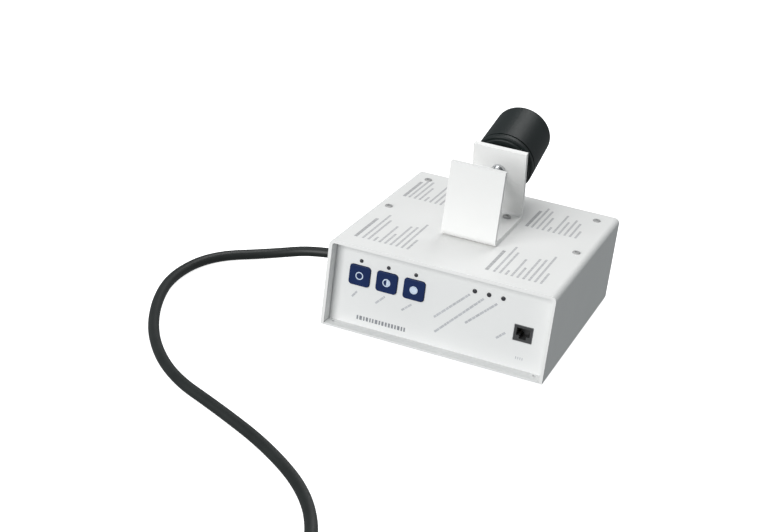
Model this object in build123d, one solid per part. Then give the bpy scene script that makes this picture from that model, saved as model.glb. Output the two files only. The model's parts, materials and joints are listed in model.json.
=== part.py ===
"""Medical light source: a pole-clamp control box with a flexible light guide.

Millimetres, +Z up. The origin is on the surface the box stands on, under the
middle of the case. -Y is the front, +X the right side seen from the front.
"""
from build123d import *
from math import cos, pi, radians, sin, tan
import os

# ---- case ----
FOOT_H = 3.0
CASE_W = 203.0
CASE_D = 220.0
CASE_H = 80.0
COVER_T = 3.0
COVER_BEND_R = 5.0
RECESS = 12.0            # front and rear panels sit this far inside the cover's edge
PANEL_T = 2.0
BASE_T = 2.0
SIDE_GAP = 0.2
FLANGE_T = 1.5           # folded edges of the base and the panels
FLANGE_D = 10.0
BASE_FLANGE_H = 12.0
CASE_BOTTOM = FOOT_H
CASE_TOP = FOOT_H + CASE_H
BASE_TOP = CASE_BOTTOM + BASE_T
ROOF = CASE_TOP - COVER_T                     # underside of the cover
INNER_X = CASE_W / 2 - COVER_T                # inner face of the side walls
PANEL_FRONT = -CASE_D / 2 + RECESS            # front face of the front panel
PANEL_BACK = PANEL_FRONT + PANEL_T
REAR_OUTER = CASE_D / 2 - RECESS              # outer face of the rear panel
REAR_INNER = REAR_OUTER - PANEL_T

# ---- air slots in the base, cover screws, feet ----
SLOT_W = 2.2
SLOT_LEN = 40.0
SLOT_PITCH = 5.0
SLOTS_PER_GROUP = 9
SLOT_FIRST_X = 20.0
SLOT_Y = -40.0
DRAIN_HOLES = [(-92.0, -101.5), (92.0, -101.5)]      # in the sill before the front panel
DRAIN_R = 1.8
COVER_SCREWS = [(-89.0, -2.5), (89.0, -2.5), (-84.0, 89.0), (84.0, 89.0)]
COVER_SCREW_R = 2.0
COVER_HEAD_R = 3.6
COVER_HEAD_H = 1.2
FEET = [(-80.0, -88.0), (80.0, -88.0), (-80.0, 88.0), (80.0, 88.0)]
FOOT_R = 7.0
PANEL_SCREWS = [(-60.0, -91.0), (60.0, -91.0), (-60.0, 91.0), (60.0, 91.0)]
POST_SIZE = 7.0          # across the flats
SMALL_HOLE_R = 1.6       # clearance holes of the 3 mm board screws
SMALL_SCREW_R = 1.45
SMALL_HEAD_R = 2.8
PANEL_HOLE_R = 1.8       # clearance holes of the 3 mm panel screws
PANEL_SCREW_R = 1.5
BOLT_HOLE_R = 2.2        # clearance holes of the 4 mm bracket bolts
BOLT_R = 1.95

# ---- buttons and indicators on the front panel ----
BUTTON_X = {"button_off": -74.5, "button_half": -49.3, "button_full": -24.1}
BUTTON_Z = 51.7
BUTTON_W = 19.3
BUTTON_H = 18.6
BUTTON_R = 3.0
BUTTON_GAP = 0.3
BUTTON_PROUD = 1.5
BUTTON_TRAVEL = 1.0
BUTTON_LED_Z = 65.3
STATUS_LED_X = [29.0, 41.7, 54.4]
STATUS_LED_Z = 64.8
BUTTON_LED_R = 1.7
STATUS_LED_R = 2.0
LED_PROUD = 0.8

# ---- control board behind the front panel ----
BOARD_T = 1.6
BOARD_FRONT = -84.0
BOARD_W = 180.0
BOARD_Z0, BOARD_Z1 = 14.0, 72.0
CHIP_T = 0.5
SPACERS = [(-86.0, 18.0), (86.0, 18.0), (-86.0, 68.0), (86.0, 68.0)]
SPACER_SIZE = 5.5        # across the flats
BOARD_CHIPS = [          # x, z, width, height, depth
    (0, 40, 12, 12, 1.8), (28, 34, 9, 6, 1.8), (-35, 34, 8, 5, 1.8),
    (55, 44, 7, 7, 1.6), (-64, 30, 10, 6, 2.2), (15, 58, 6, 4, 1.5),
    (-15, 24, 20, 7, 8.0), (40, 22, 14, 7, 8.0), (20, 24, 5, 5, 6.0),
]
SWITCH_SIZE = 6.2
SWITCH_FRONT = -88.0
SWITCH_BORE_R = 1.9
SWITCH_BORE_END = -85.5

# ---- data jack ----
JACK_X, JACK_Z = 75.9, 38.0
JACK_W, JACK_H = 16.0, 14.0
JACK_FRONT = -98.4
SHIELD_T = 0.3
PLUG_W, PLUG_H = 11.8, 7.0
LATCH_W, LATCH_H = 6.2, 3.0
JACK_DEPTH = 12.0
CONTACT_PITCH = 1.02
CONTACTS = 8

# ---- light port, light engine ----
PORT_Y, PORT_Z = 17.0, 17.5
PORT_BODY_R = 8.0
PORT_FLANGE_R = 11.0
PORT_OUT_X = -110.0
PORT_IN_X = -95.0
NUT_R = 10.5
GUIDE_R = 4.75           # light guide cable radius
INNER_FERRULE_R = 4.8
BARREL_R = 11.0
BARREL_WALL = 1.5
BARREL_X0, BARREL_X1 = -95.0, -60.0
SINK_X0, SINK_X1 = -58.4, -24.0
SINK_SIZE = 38.0
SINK_BASE = 4.0
SINK_FINS = 8
FIN_T = 1.4

# ---- power board ----
PCB_X0, PCB_X1 = -10.0, 82.0
PCB_Y0, PCB_Y1 = -58.0, 62.0
PCB_Z = 13.0
PCB_INSET = 5.0
PCB_TOP = PCB_Z + BOARD_T
CORE_X, CORE_Y = 60.0, 34.0
CORE_W, CORE_T, CORE_H = 40.0, 16.0, 34.0
CORE_LEG = 11.0          # middle leg of the core; the windows lie on both sides of it
WINDOW_W, WINDOW_Z0, WINDOW_Z1 = 9.0, 6.0, 28.0
WINDING_W, WINDING_D = 28.4, 28.0
WINDING_GAP = 0.3
CAPACITORS = [(4, 38, 9, 30), (25, 38, 9, 30), (4, 12, 5, 16), (20, 12, 5, 16)]   # x, y, radius, height
SINK2_X0, SINK2_X1 = 6.0, 78.0
SINK2_Y0, SINK2_Y1, SINK2_Y2 = -22.0, -18.0, -8.0    # plate from Y0 to Y1, fins to Y2
SINK2_H = 32.0
SINK2_FINS = 9
TRANSISTORS = 3
CONNECTORS = [(12, -46, 18), (40, -46, 12), (61, -46, 24), (40, 54, 20)]          # x, y, width
CONNECTOR_D, CONNECTOR_H, CONNECTOR_WALL = 9.0, 11.0, 1.0
FUSE_X, FUSE_Y, FUSE_H = 50.0, 4.0, 6.0
FUSE_R, FUSE_LEN = 2.6, 20.0
CLIP_LEN = 5.0

# ---- fan, inlet, switch on the rear panel ----
FAN_X, FAN_Z = 42.0, 44.0
FAN_SIZE = 60.0
FAN_DEPTH = 15.0
FAN_BORE_R = 28.5
FAN_HUB_R = 12.0
FAN_BLADES = 7
FAN_HOLE_SPACING = 50.0
INLET_X, INLET_Z = -56.0, 30.0
INLET_W, INLET_H = 27.0, 20.0
INLET_FLANGE_W = 50.0
INLET_FLANGE_H = 23.0
INLET_SCREW_SPACING = 40.0
INLET_DEPTH = 22.0
INLET_SOCKET_W, INLET_SOCKET_H, INLET_SOCKET_DEPTH = 24.4, 16.6, 16.0
INLET_PIN_LEN = 10.0
SWITCH_X, SWITCH_Z = -20.0, 30.0
ROCKER_W, ROCKER_H = 10.0, 17.0
ROCKER_TILT = 9.0        # rest is in the off position

# ---- pole clamp ----
BRACKET_W = 50.0
BRACKET_T = 5.0
BRACKET_BEND_R = 5.5
FRONT_LEG_Y = -38.5      # middle of the front leg's thickness
LEG_H = 70.0
LEG_TILT = 16.0          # the rear leg leans forward by this many degrees
REAR_FOOT_Y = 42.8
SCREW_AXIS_H = 48.5      # above the case, where the screw crosses the rear leg
SCREW_R = 5.0
SCREW_CLEARANCE = 0.05
SCREW_LEAD = 3.0         # travel per turn of the knob
BUSH_R = 6.5
KNOB_GAP = 6.0
KNOB_LEN = 59.2
KNOB_R_NEAR, KNOB_R_FAR = 28.3, 26.8
KNOB_FILLET = 3.0
HUB_R0, HUB_R1 = 22.0, 26.0      # raised ring on the face towards the bracket
HUB_PROUD = 1.8
HUB_FILLET = 1.2
SKIRT_LEN = 5.0          # a groove parts the knob's grip from its near rim
SKIRT_GROOVE = 1.6
SKIRT_DEPTH = 1.4
PAD_R = 11.0
PAD_T = 6.0
PAD_FACE_T = 2.0
PAD_COLLAR_R, PAD_COLLAR_T = 7.0, 2.0
PAD_REACH = 41.4         # rear leg's middle to the pad's rubber face, along the screw
BALL_R = 4.0
BALL_CLEARANCE = 0.3
BALL_DEPTH = 5.0         # the ball's middle behind the pad's front plate
NECK_R = 2.5
NECK_LEN = 7.0
RING_R, RING_T = 7.0, 3.0
BOLT_HEAD_R, BOLT_HEAD_H = 3.8, 2.4
BACKING_T = 3.0
BUSH_FLANGE_R, BUSH_FLANGE_T = 11.0, 2.0
SCREW_IN_KNOB = 22.0
CAP_R, CAP_DEPTH, CAP_PROUD = 16.0, 1.5, 0.3
BRACKET_BOLTS = [(-14.0, -26.0), (14.0, -26.0), (-14.0, 28.0), (14.0, 28.0)]

# ---- light guide cable ----
FLOOR_Z = GUIDE_R
ROUTE = [
    (PORT_OUT_X, PORT_Y, PORT_Z),
    (-158.0, 16.5, 15.8),
    (-204.0, -1.0, 5.4),
    (-246.0, -38.0, FLOOR_Z),
    (-254.0, -100.0, FLOOR_Z),
    (-236.0, -163.0, FLOOR_Z),
    (-203.0, -226.0, FLOOR_Z),
    (-158.0, -275.0, FLOOR_Z),
    (-103.0, -302.0, FLOOR_Z),
    (-46.0, -334.0, FLOOR_Z),
    (4.0, -376.0, FLOOR_Z),
    (34.0, -428.0, FLOOR_Z),
    (44.0, -482.0, FLOOR_Z),
]
ARC_SHARE = 0.45
RELIEF_LEN = 25.0
RELIEF_R0, RELIEF_R1 = 7.5, 5.6
COIL_R = 55.0            # middle of the turns
COIL_SPREAD = 4.95       # the two lowest turns lie this far outside and inside COIL_R
COIL_H = 19.2            # height of three turns: two on the floor and one on top
COIL_LEAD_IN = 36.0
LAST_TURN_START = 95.0   # degrees from +X, where the guide climbs onto the coil
LAST_TURN_END = 270.0    # where the end fitting starts, heading along +X
SLEEVE_R, SLEEVE_LEN = 6.0, 34.0
FERRULE_R, FERRULE_LEN = 4.0, 24.0

CENTRE_TO_TOP = (Align.CENTER, Align.CENTER, Align.MIN)


def block(x0, x1, y0, y1, z0, z1):
    """Box given by its lowest and highest coordinates."""
    return Pos((x0 + x1) / 2, (y0 + y1) / 2, (z0 + z1) / 2) * Box(x1 - x0, y1 - y0, z1 - z0)


def rod(start, direction, radius, length):
    """Cylinder from start, along direction."""
    return Plane(origin=start, z_dir=direction) * Cylinder(radius, length, align=CENTRE_TO_TOP)


def cone(start, direction, radius_start, radius_end, length):
    """Truncated cone from start, along direction."""
    plane = Plane(origin=start, z_dir=direction)
    return plane * Cone(radius_start, radius_end, length, align=CENTRE_TO_TOP)


def front_plate(x, z, width, height, radius, y0, y1):
    """Rounded rectangle in the XZ plane, from y0 to y1."""
    plane = Plane(origin=(x, y0, z), x_dir=(1, 0, 0), z_dir=(0, 1, 0))
    return extrude(plane * RectangleRounded(width, height, radius), amount=y1 - y0)


def hex_rod(start, direction, across_flats, length):
    """Hexagonal bar from start, along direction."""
    plane = Plane(origin=start, z_dir=direction)
    return extrude(plane * RegularPolygon(across_flats / 2, 6, major_radius=False), amount=length)


def save(name, *shapes):
    """Write one node; several shapes stay separate solids."""
    solids = [solid for shape in shapes for solid in shape.solids()]
    item = solids[0] if len(solids) == 1 else Compound(children=solids)
    export_step(item, f"parts/{name}.step")


# ------------------------------------------------------------------ case
def cover_profile(inset, floor):
    """Inverted-U block: rounded long edges at the top, open below."""
    half = CASE_W / 2 - inset
    top = CASE_TOP - inset
    body = block(-half, half, -CASE_D / 2 - inset, CASE_D / 2 + inset, floor, top)
    long_edges = body.edges().filter_by(Axis.Y).group_by(Axis.Z)[-1]
    return fillet(long_edges, COVER_BEND_R - inset)


def make_cover():
    cover = cover_profile(0, CASE_BOTTOM) - cover_profile(COVER_T, CASE_BOTTOM - 1)
    cuts = []
    for x, y in COVER_SCREWS:
        cuts.append(rod((x, y, ROOF - 1), (0, 0, 1), COVER_SCREW_R + 0.1, COVER_T + 2))
    for x, y in BRACKET_BOLTS:
        cuts.append(rod((x, y, ROOF - 1), (0, 0, 1), BOLT_HOLE_R, COVER_T + 2))
    cuts.append(rod((-CASE_W / 2 - 1, PORT_Y, PORT_Z), (1, 0, 0), PORT_BODY_R, COVER_T + 2))
    save("top_cover", cover - cuts)


def make_base():
    half = INNER_X - SIDE_GAP
    plate = block(-half, half, -CASE_D / 2, CASE_D / 2, CASE_BOTTOM, BASE_TOP)
    clear = PORT_FLANGE_R + 1.0
    for side in (-1, 1):
        x0, x1 = sorted((side * half, side * (half - FLANGE_T)))
        plate += block(x0, x1, PANEL_BACK + 1, REAR_INNER - 1, BASE_TOP, BASE_TOP + BASE_FLANGE_H)
    plate -= block(-half - 1, -half + 3, PORT_Y - clear, PORT_Y + clear, BASE_TOP, CASE_TOP)
    for x, y in COVER_SCREWS + PANEL_SCREWS:
        plate -= rod((x, y, CASE_BOTTOM - 1), (0, 0, 1), COVER_SCREW_R, BASE_T + 2)
    for x, y in DRAIN_HOLES:
        plate -= rod((x, y, CASE_BOTTOM - 1), (0, 0, 1), DRAIN_R, BASE_T + 2)
    for side in (-1, 1):
        for i in range(SLOTS_PER_GROUP):
            x = side * (SLOT_FIRST_X + i * SLOT_PITCH)
            slot = Pos(x, SLOT_Y, CASE_BOTTOM - 1) * SlotOverall(SLOT_LEN, SLOT_W, rotation=90)
            plate -= extrude(slot, amount=BASE_T + 2)
    save("base_plate", plate)

    feet = []
    for x, y in FEET:
        foot = rod((x, y, 0), (0, 0, 1), FOOT_R, FOOT_H)
        feet.append(chamfer(foot.edges().group_by(Axis.Z)[0], 0.8))
    save("rubber_feet", *feet)

    posts = []
    screws = []
    for x, y in COVER_SCREWS:
        post = hex_rod((x, y, BASE_TOP), (0, 0, 1), POST_SIZE, ROOF - BASE_TOP)
        posts.append(post - rod((x, y, ROOF - 12), (0, 0, 1), COVER_SCREW_R, 13))
        head = rod((x, y, CASE_TOP), (0, 0, 1), COVER_HEAD_R, COVER_HEAD_H)
        head = chamfer(head.edges().group_by(Axis.Z)[-1], 0.6)
        head += rod((x, y, ROOF - 10), (0, 0, 1), COVER_SCREW_R - 0.05, 10 + COVER_T)
        socket = hex_rod((x, y, CASE_TOP + 0.3), (0, 0, 1), 2.5, 2)
        screws.append(head - socket)
    save("cover_posts", *posts)
    save("cover_screws", *screws)


def make_front_panel():
    half = INNER_X - SIDE_GAP
    panel = block(-half, half, PANEL_FRONT, PANEL_BACK, BASE_TOP, ROOF - SIDE_GAP)
    top_corners = panel.edges().filter_by(Axis.Y).group_by(Axis.Z)[-1]
    panel = fillet(top_corners, COVER_BEND_R - COVER_T + SIDE_GAP)
    flange_back = PANEL_BACK + FLANGE_D
    panel += block(-95, 95, PANEL_BACK, flange_back, BASE_TOP, BASE_TOP + FLANGE_T)
    roof = ROOF - SIDE_GAP
    panel += block(-88, 88, PANEL_BACK, flange_back, roof - FLANGE_T, roof)
    y0, y1 = PANEL_FRONT - 1, PANEL_BACK + 1
    cuts = []
    for x in BUTTON_X.values():
        width = BUTTON_W + 2 * BUTTON_GAP
        height = BUTTON_H + 2 * BUTTON_GAP
        cuts.append(front_plate(x, BUTTON_Z, width, height, BUTTON_R + BUTTON_GAP, y0, y1))
    for x, z, radius in led_places():
        cuts.append(rod((x, y0, z), (0, 1, 0), radius + 0.1, PANEL_T + 2))
    jack_w = JACK_W + 2 * SHIELD_T + 0.4
    jack_h = JACK_H + 2 * SHIELD_T + 0.4
    cuts.append(block(JACK_X - jack_w / 2, JACK_X + jack_w / 2, y0, y1,
                      JACK_Z - jack_h / 2, JACK_Z + jack_h / 2))
    for x, y in PANEL_SCREWS[:2]:
        cuts.append(rod((x, y, BASE_TOP - 1), (0, 0, 1), COVER_SCREW_R, 4))
    save("front_panel", panel - cuts)


def make_rear_panel():
    half = INNER_X - SIDE_GAP
    roof = ROOF - SIDE_GAP
    panel = block(-half, half, REAR_INNER, REAR_OUTER, BASE_TOP, roof)
    top_corners = panel.edges().filter_by(Axis.Y).group_by(Axis.Z)[-1]
    panel = fillet(top_corners, COVER_BEND_R - COVER_T + SIDE_GAP)
    panel += block(-95, 95, REAR_INNER - FLANGE_D, REAR_INNER, BASE_TOP, BASE_TOP + FLANGE_T)
    y0 = REAR_INNER - 1
    cuts = [rod((FAN_X, y0, FAN_Z), (0, 1, 0), FAN_BORE_R, PANEL_T + 2)]
    for x, z in fan_holes():
        cuts.append(rod((x, y0, z), (0, 1, 0), PANEL_HOLE_R, PANEL_T + 2))
    width, height = INLET_W + 0.4, INLET_H + 0.4
    cuts.append(block(INLET_X - width / 2, INLET_X + width / 2, y0, y0 + PANEL_T + 2,
                      INLET_Z - height / 2, INLET_Z + height / 2))
    for side in (-1, 1):
        x = INLET_X + side * INLET_SCREW_SPACING / 2
        cuts.append(rod((x, y0, INLET_Z), (0, 1, 0), PANEL_HOLE_R, PANEL_T + 2))
    cuts.append(block(SWITCH_X - 6.7, SWITCH_X + 6.7, y0, y0 + PANEL_T + 2,
                      SWITCH_Z - 10.2, SWITCH_Z + 10.2))
    for x, y in PANEL_SCREWS[2:] + COVER_SCREWS[2:]:
        cuts.append(rod((x, y, BASE_TOP - 1), (0, 0, 1), COVER_SCREW_R, 4))
    for x, y in COVER_SCREWS[2:]:
        cuts.append(block(x - 5, x + 5, y - 5, REAR_INNER, BASE_TOP, BASE_TOP + 3))
    save("rear_panel", panel - cuts)

    screws = []
    for x, y in PANEL_SCREWS:
        screw = rod((x, y, CASE_BOTTOM - 1.6), (0, 0, 1), 3.4, 1.6)
        screw = chamfer(screw.edges().group_by(Axis.Z)[0], 0.6)
        screw += rod((x, y, CASE_BOTTOM), (0, 0, 1), COVER_SCREW_R - 0.05, 7)
        screws.append(screw - hex_rod((x, y, CASE_BOTTOM - 2), (0, 0, 1), 2.5, 1.2))
    save("panel_screws", *screws)


# ------------------------------------------------------- buttons and board
def led_places():
    """Places and radii of the six indicators on the front panel, as (x, z, radius)."""
    over_buttons = [(x, BUTTON_LED_Z, BUTTON_LED_R) for x in BUTTON_X.values()]
    return over_buttons + [(x, STATUS_LED_Z, STATUS_LED_R) for x in STATUS_LED_X]


def make_buttons():
    flange_front = PANEL_BACK + BUTTON_GAP
    flange_t = 1.5
    stem_end = SWITCH_FRONT - BUTTON_TRAVEL - 0.5
    tip_end = SWITCH_BORE_END - BUTTON_TRAVEL - 0.3
    switches = []
    for name, x in BUTTON_X.items():
        front = PANEL_FRONT - BUTTON_PROUD
        cap = front_plate(x, BUTTON_Z, BUTTON_W, BUTTON_H, BUTTON_R, front, flange_front)
        cap = fillet(cap.faces().sort_by(Axis.Y)[0].edges(), 0.6)
        back = flange_front + flange_t
        cap += front_plate(x, BUTTON_Z, BUTTON_W + 3, BUTTON_H + 3, BUTTON_R, flange_front, back)
        cap += rod((x, back, BUTTON_Z), (0, 1, 0), 2.5, stem_end - back)
        cap += rod((x, stem_end, BUTTON_Z), (0, 1, 0), SWITCH_BORE_R - 0.3, tip_end - stem_end)
        save(name, cap)
        half = SWITCH_SIZE / 2
        switch = block(x - half, x + half, SWITCH_FRONT, BOARD_FRONT, BUTTON_Z - half, BUTTON_Z + half)
        bore = rod((x, SWITCH_FRONT - 1, BUTTON_Z), (0, 1, 0), SWITCH_BORE_R,
                   SWITCH_BORE_END - SWITCH_FRONT + 1)
        switches.append(switch - bore)
    save("tact_switches", *switches)


def make_control_board():
    board = block(-BOARD_W / 2, BOARD_W / 2, BOARD_FRONT, BOARD_FRONT + BOARD_T, BOARD_Z0, BOARD_Z1)
    spacers = []
    screws = []
    for x, z in SPACERS:
        board -= rod((x, BOARD_FRONT - 1, z), (0, 1, 0), SMALL_HOLE_R, BOARD_T + 2)
        spacer = hex_rod((x, PANEL_BACK, z), (0, 1, 0), SPACER_SIZE, BOARD_FRONT - PANEL_BACK)
        spacers.append(spacer - rod((x, BOARD_FRONT - 6, z), (0, 1, 0), SMALL_SCREW_R + 0.05, 7))
        back = BOARD_FRONT + BOARD_T
        screw = rod((x, back, z), (0, 1, 0), SMALL_HEAD_R, 1.6)
        screws.append(screw + rod((x, BOARD_FRONT - 5, z), (0, 1, 0), SMALL_SCREW_R, 5 + BOARD_T))
    save("control_board", board)

    chips = []
    for x, z, _ in led_places():
        chips.append(block(x - 1, x + 1, BOARD_FRONT - CHIP_T, BOARD_FRONT, z - 0.6, z + 0.6))
    back = BOARD_FRONT + BOARD_T
    for x, z, width, height, depth in BOARD_CHIPS:
        chips.append(block(x - width / 2, x + width / 2, back, back + depth,
                           z - height / 2, z + height / 2))
    save("control_board_chips", *chips)

    pipes = []
    for x, z, radius in led_places():
        front = PANEL_FRONT - LED_PROUD
        pipe = rod((x, front, z), (0, 1, 0), radius, BOARD_FRONT - CHIP_T - front)
        pipes.append(fillet(pipe.faces().sort_by(Axis.Y)[0].edges(), 0.7))
    save("indicator_lenses", *pipes)
    return spacers, screws


def make_jack():
    x0, x1 = JACK_X - JACK_W / 2, JACK_X + JACK_W / 2
    z0, z1 = JACK_Z - JACK_H / 2, JACK_Z + JACK_H / 2
    shell = block(x0 - SHIELD_T, x1 + SHIELD_T, JACK_FRONT, BOARD_FRONT - 0.5,
                  z0 - SHIELD_T, z1 + SHIELD_T)
    save("data_jack_shield", shell - block(x0, x1, JACK_FRONT - 1, BOARD_FRONT, z0, z1))
    housing = block(x0, x1, JACK_FRONT, BOARD_FRONT, z0, z1)
    plug_z0 = JACK_Z - 2.0
    plug_z1 = plug_z0 + PLUG_H
    end = JACK_FRONT + JACK_DEPTH
    housing -= block(JACK_X - PLUG_W / 2, JACK_X + PLUG_W / 2, JACK_FRONT - 1, end, plug_z0, plug_z1)
    housing -= block(JACK_X - LATCH_W / 2, JACK_X + LATCH_W / 2, JACK_FRONT - 1, end,
                     plug_z0 - LATCH_H, plug_z0)
    save("data_jack_housing", housing)
    contacts = []
    low, high = plug_z0 + 1.6, plug_z1 - 0.1
    for i in range(CONTACTS):
        x = JACK_X + (i - (CONTACTS - 1) / 2) * CONTACT_PITCH
        wire = Plane(origin=(x - 0.2, 0, 0), x_dir=(0, 1, 0), z_dir=(1, 0, 0)) * Polygon(
            (JACK_FRONT + 2.0, high), (JACK_FRONT + 2.6, high),
            (end - 0.3, low + 0.5), (end - 0.3, low), align=None)
        contacts.append(extrude(wire, amount=0.4, dir=(1, 0, 0)))
    save("data_jack_contacts", *contacts)


# ------------------------------------------------------------ light engine
def make_light_port():
    wall = -INNER_X
    axis = (1, 0, 0)
    bush = rod((PORT_OUT_X, PORT_Y, PORT_Z), axis, PORT_BODY_R, wall - PORT_OUT_X)
    bush += rod((wall, PORT_Y, PORT_Z), axis, PORT_FLANGE_R, PORT_IN_X - wall)
    bush -= rod((PORT_OUT_X - 1, PORT_Y, PORT_Z), axis, INNER_FERRULE_R + 0.1,
                PORT_IN_X - PORT_OUT_X + 2)
    save("light_port_bush", bush)
    outer = -CASE_W / 2
    nut = hex_rod((outer - 6, PORT_Y, PORT_Z), axis, 2 * NUT_R * cos(radians(30)), 6)
    nut -= rod((outer - 7, PORT_Y, PORT_Z), axis, PORT_BODY_R, 8)
    save("light_port_nut", nut)
    save("guide_inlet_ferrule", rod((PORT_OUT_X, PORT_Y, PORT_Z), axis, INNER_FERRULE_R, 19.0))


def make_light_engine():
    axis = (1, 0, 0)
    length = BARREL_X1 - BARREL_X0
    barrel = rod((BARREL_X0, PORT_Y, PORT_Z), axis, BARREL_R, length)
    barrel -= rod((BARREL_X0 + 3, PORT_Y, PORT_Z), axis, BARREL_R - BARREL_WALL, length)
    barrel -= rod((BARREL_X0 - 1, PORT_Y, PORT_Z), axis, INNER_FERRULE_R + 0.1, 5)
    save("lens_barrel", barrel)
    lens_r = BARREL_R - BARREL_WALL - 0.1
    lens = rod((-78.0, PORT_Y, PORT_Z), axis, lens_r, 7.0)
    save("condenser_lens", fillet(lens.faces().sort_by(Axis.X)[-1].edges(), 4.5))
    board_x = SINK_X0 - BOARD_T
    board = rod((board_x, PORT_Y, PORT_Z), axis, BARREL_R - 0.5, BOARD_T)
    save("emitter_board", board)
    save("light_emitter", block(board_x - 1.2, board_x, PORT_Y - 2.2, PORT_Y + 2.2,
                                PORT_Z - 2.2, PORT_Z + 2.2))
    y0, y1 = PORT_Y - SINK_SIZE / 2, PORT_Y + SINK_SIZE / 2
    z0 = BASE_TOP
    sink = block(SINK_X0, SINK_X0 + SINK_BASE, y0, y1, z0, z0 + SINK_SIZE)
    step = (SINK_SIZE - FIN_T) / (SINK_FINS - 1)
    for i in range(SINK_FINS):
        y = y0 + i * step
        sink += block(SINK_X0 + SINK_BASE, SINK_X1, y, y + FIN_T, z0, z0 + SINK_SIZE)
    save("engine_heat_sink", sink)


# ------------------------------------------------------------- power board
def power_board_corners():
    xs = (PCB_X0 + PCB_INSET, PCB_X1 - PCB_INSET)
    ys = (PCB_Y0 + PCB_INSET, PCB_Y1 - PCB_INSET)
    return [(x, y) for x in xs for y in ys]


def make_transformer():
    x, y = CORE_X, CORE_Y
    core = block(x - CORE_W / 2, x + CORE_W / 2, y - CORE_T / 2, y + CORE_T / 2, PCB_TOP, PCB_TOP + CORE_H)
    leg = CORE_LEG / 2
    for side in (-1, 1):
        x0, x1 = sorted((x + side * leg, x + side * (leg + WINDOW_W)))
        core -= block(x0, x1, y - CORE_T, y + CORE_T, PCB_TOP + WINDOW_Z0, PCB_TOP + WINDOW_Z1)
    save("transformer_core", core)
    winding = block(x - WINDING_W / 2, x + WINDING_W / 2, y - WINDING_D / 2, y + WINDING_D / 2,
                    PCB_TOP + WINDOW_Z0 + WINDING_GAP, PCB_TOP + WINDOW_Z1 - WINDING_GAP)
    save("transformer_winding", winding - core)


def make_power_board():
    board = block(PCB_X0, PCB_X1, PCB_Y0, PCB_Y1, PCB_Z, PCB_TOP)
    spacers = []
    screws = []
    for x, y in power_board_corners():
        board -= rod((x, y, PCB_Z - 1), (0, 0, 1), SMALL_HOLE_R, BOARD_T + 2)
        spacer = hex_rod((x, y, BASE_TOP), (0, 0, 1), SPACER_SIZE, PCB_Z - BASE_TOP)
        spacers.append(spacer - rod((x, y, PCB_Z - 6), (0, 0, 1), SMALL_SCREW_R + 0.05, 7))
        screw = rod((x, y, PCB_TOP), (0, 0, 1), SMALL_HEAD_R, 1.6)
        screws.append(screw + rod((x, y, PCB_Z - 5), (0, 0, 1), SMALL_SCREW_R, 5 + BOARD_T))
    save("power_board", board)

    capacitors = []
    for x, y, radius, height in CAPACITORS:
        can = rod((x, y, PCB_TOP), (0, 0, 1), radius, height)
        capacitors.append(fillet(can.edges().group_by(Axis.Z)[-1], 1.0))
    save("filter_capacitors", *capacitors)

    sink_top = PCB_TOP + SINK2_H
    sink = block(SINK2_X0, SINK2_X1, SINK2_Y0, SINK2_Y1, PCB_TOP, sink_top)
    first, last = SINK2_X0 + 1, SINK2_X1 - 1 - FIN_T
    for i in range(SINK2_FINS):
        x = first + i * (last - first) / (SINK2_FINS - 1)
        sink += block(x, x + FIN_T, SINK2_Y1, SINK2_Y2, PCB_TOP, sink_top)
    save("power_heat_sink", sink)
    transistors = []
    pitch = (SINK2_X1 - SINK2_X0) / TRANSISTORS
    for i in range(TRANSISTORS):
        x = SINK2_X0 + (i + 0.5) * pitch
        transistors.append(block(x - 5, x + 5, SINK2_Y0 - 4.5, SINK2_Y0, PCB_TOP + 6, PCB_TOP + 22))
    save("power_transistors", *transistors)

    connectors = []
    for x, y, width in CONNECTORS:
        half_w, half_d = width / 2, CONNECTOR_D / 2
        top = PCB_TOP + CONNECTOR_H
        body = block(x - half_w, x + half_w, y - half_d, y + half_d, PCB_TOP, top)
        half_w -= CONNECTOR_WALL
        half_d -= CONNECTOR_WALL
        connectors.append(body - block(x - half_w, x + half_w, y - half_d, y + half_d, PCB_TOP + 4, top + 1))
    save("board_connectors", *connectors)

    fuse_z = PCB_TOP + FUSE_H
    save("mains_fuse", rod((FUSE_X, FUSE_Y, fuse_z), (1, 0, 0), FUSE_R, FUSE_LEN))
    clips = []
    half = FUSE_R + 0.8
    for x in (FUSE_X + 1, FUSE_X + FUSE_LEN - 1 - CLIP_LEN):
        clip = block(x, x + CLIP_LEN, FUSE_Y - half, FUSE_Y + half, PCB_TOP, fuse_z + 1.5)
        clips.append(clip - rod((x - 1, FUSE_Y, fuse_z), (1, 0, 0), FUSE_R, CLIP_LEN + 2))
    save("fuse_clips", *clips)
    return spacers, screws


# ------------------------------------------------- fan, inlet, power switch
def fan_holes():
    half = FAN_HOLE_SPACING / 2
    return [(FAN_X + sx * half, FAN_Z + sz * half) for sx in (-1, 1) for sz in (-1, 1)]


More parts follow.
